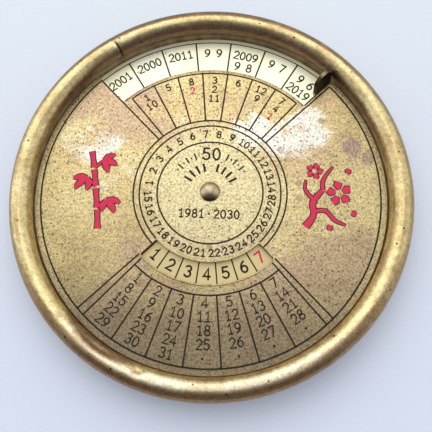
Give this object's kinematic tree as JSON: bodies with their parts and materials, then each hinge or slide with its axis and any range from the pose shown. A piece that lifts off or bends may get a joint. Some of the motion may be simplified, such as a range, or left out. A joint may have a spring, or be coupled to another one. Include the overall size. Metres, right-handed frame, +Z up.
{
  "type": "perpetual desk calendar",
  "caption": "Round brass perpetual desk calendar: a notched face plate turns on a centre rivet over a fixed year and weekday dial inside a tube rim.",
  "frame": {"origin": "middle of the underside, where the felt rests on the table", "axes": "+Z up out of the face, +Y from the centre rivet to the middle of the year window at rest, -Y to the dates, which is the reader's side"},
  "size_m": [0.085, 0.085, 0.0093],
  "materials": {
    "rim_brass": "polished, aged, with brown tarnish inside",
    "face_brass": "satin, aged, speckled",
    "dial_brass": "satin, clean, pale",
    "pan_brass": "dull, tarnished",
    "plain_brass": "plain",
    "rivet_brass": "polished, worn",
    "spring_steel": "spring steel",
    "felt": "short pile",
    "black_fill": "black fill of the engraved lines and numbers",
    "red_fill": "red fill of the engraved ornaments"
  },
  "bodies": {
    "base": {"felt_pad": "felt", "base_pan": "pan_brass", "rim_ring": "rim_brass", "dial_pins": "plain_brass", "year_dial": "dial_brass", "centre_rivet": "rivet_brass", "spring_washer": "spring_steel", "rivet_washer": "plain_brass"},
    "face": {"face_plate": "face_brass"}
  },
  "joints": [
    {"name": "face_turn", "type": "hinge", "parent": "base", "child": "face", "pos_m": [0, 0, 0.0035], "axis": [0, 0, 1], "continuous": true}
  ]
}
